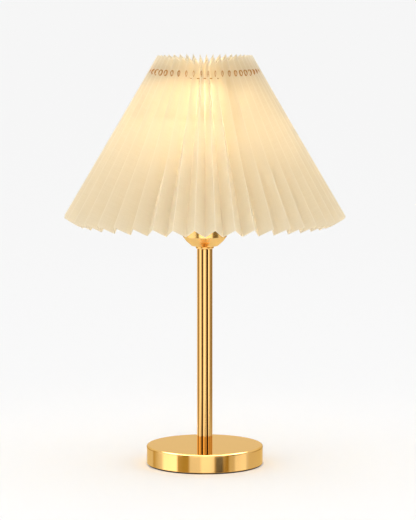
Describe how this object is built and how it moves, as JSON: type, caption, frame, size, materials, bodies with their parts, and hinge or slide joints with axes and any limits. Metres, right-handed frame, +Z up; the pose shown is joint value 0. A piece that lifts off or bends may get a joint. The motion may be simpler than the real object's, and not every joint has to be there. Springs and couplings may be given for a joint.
{
  "type": "table lamp",
  "caption": "Small table lamp with a round polished base, a reeded stem, an E27 lampholder in a cup, and a conical pleated translucent shade on a wire frame with its bulb.",
  "frame": {"origin": "centre of the underside, on the surface the lamp stands on", "axes": "+Z up along the stem, -Y towards the front, +Y towards the mains lead inlet"},
  "size_m": [0.2878, 0.2878, 0.4207],
  "materials": {
    "polished_brass": "polished gold-tone plating over spun and drawn metal",
    "cast_weight": "as cast, painted grey",
    "foot_foam": "dense black foam rubber",
    "bush_rubber": "moulded cream rubber",
    "zinc_steel": "bright zinc plated",
    "block_nylon": "natural nylon",
    "live_sleeve": "brown insulation",
    "neutral_sleeve": "blue insulation",
    "holder_plastic": "moulded white thermoset",
    "contact_brass": "stamped",
    "frame_enamel": "white powder coat on steel wire",
    "nut_plastic": "moulded white",
    "pleated_sheet": "translucent cream fabric on film, heat-set pleats",
    "cord_cotton": "twisted cream cord",
    "cap_nickel": "bright nickel plated",
    "insulator_black": "glassy black",
    "bulb_white": "moulded white",
    "board_white": "white solder mask on metal core",
    "driver_green": "glass-filled laminate",
    "led_phosphor": "yellow phosphor, lit",
    "opal_globe": "opal diffuser, lit warm white"
  },
  "bodies": {
    "lamp": {"base_cover": "polished_brass", "base_weight": "cast_weight", "base_pad": "foot_foam", "cord_grommet": "bush_rubber", "base_washer": "zinc_steel", "base_nut": "zinc_steel", "terminal_block": "block_nylon", "terminal_block_screws": "zinc_steel", "tie_rod": "zinc_steel", "stem_tube": "polished_brass", "stem_collar": "polished_brass", "live_wire": "live_sleeve", "neutral_wire": "neutral_sleeve", "holder_cup": "polished_brass", "cup_nut": "zinc_steel", "lampholder_cap": "holder_plastic", "lampholder_insert": "holder_plastic", "terminal_screws": "zinc_steel", "lampholder_body": "holder_plastic", "screw_shell": "contact_brass", "centre_contact": "contact_brass", "side_contact": "contact_brass"},
    "shade_frame": {"fitter_ring": "frame_enamel", "frame_arms": "frame_enamel", "lower_ring": "frame_enamel", "upper_ring": "frame_enamel"},
    "ring_nut": {"shade_ring_nut": "nut_plastic"},
    "shade": {"pleated_shade": "pleated_sheet", "gather_cord": "cord_cotton"},
    "bulb_lift": {"bulb_contact": "cap_nickel"},
    "bulb": {"bulb_insulator": "insulator_black", "bulb_cap": "cap_nickel", "bulb_body": "bulb_white", "bulb_driver": "driver_green", "bulb_led_board": "board_white", "bulb_leds": "led_phosphor", "bulb_globe": "opal_globe"}
  },
  "joints": [
    {"name": "frame_turn", "type": "hinge", "parent": "lamp", "child": "shade_frame", "pos_m": [0, 0, 0.278], "axis": [0, 0, 1], "continuous": true},
    {"name": "shade_lift", "type": "slide", "parent": "shade_frame", "child": "shade", "axis": [0, 0, 1], "range_m": [0, 0.16]},
    {"name": "ring_nut_turn", "type": "hinge", "parent": "lamp", "child": "ring_nut", "pos_m": [0, 0, 0.2796], "axis": [0, 0, 1], "continuous": true},
    {"name": "bulb_rise", "type": "slide", "parent": "lamp", "child": "bulb_lift", "axis": [0, 0, 1], "range_m": [0, 0.0255]},
    {"name": "bulb_turn", "type": "hinge", "parent": "bulb_lift", "child": "bulb", "pos_m": [0, 0, 0.2615], "axis": [0, 0, 1], "range_deg": [0, 2520]}
  ],
  "couplings": [
    {"joint": "bulb_rise", "follows": "bulb_turn", "m_per_rad": 0.00057757}
  ]
}
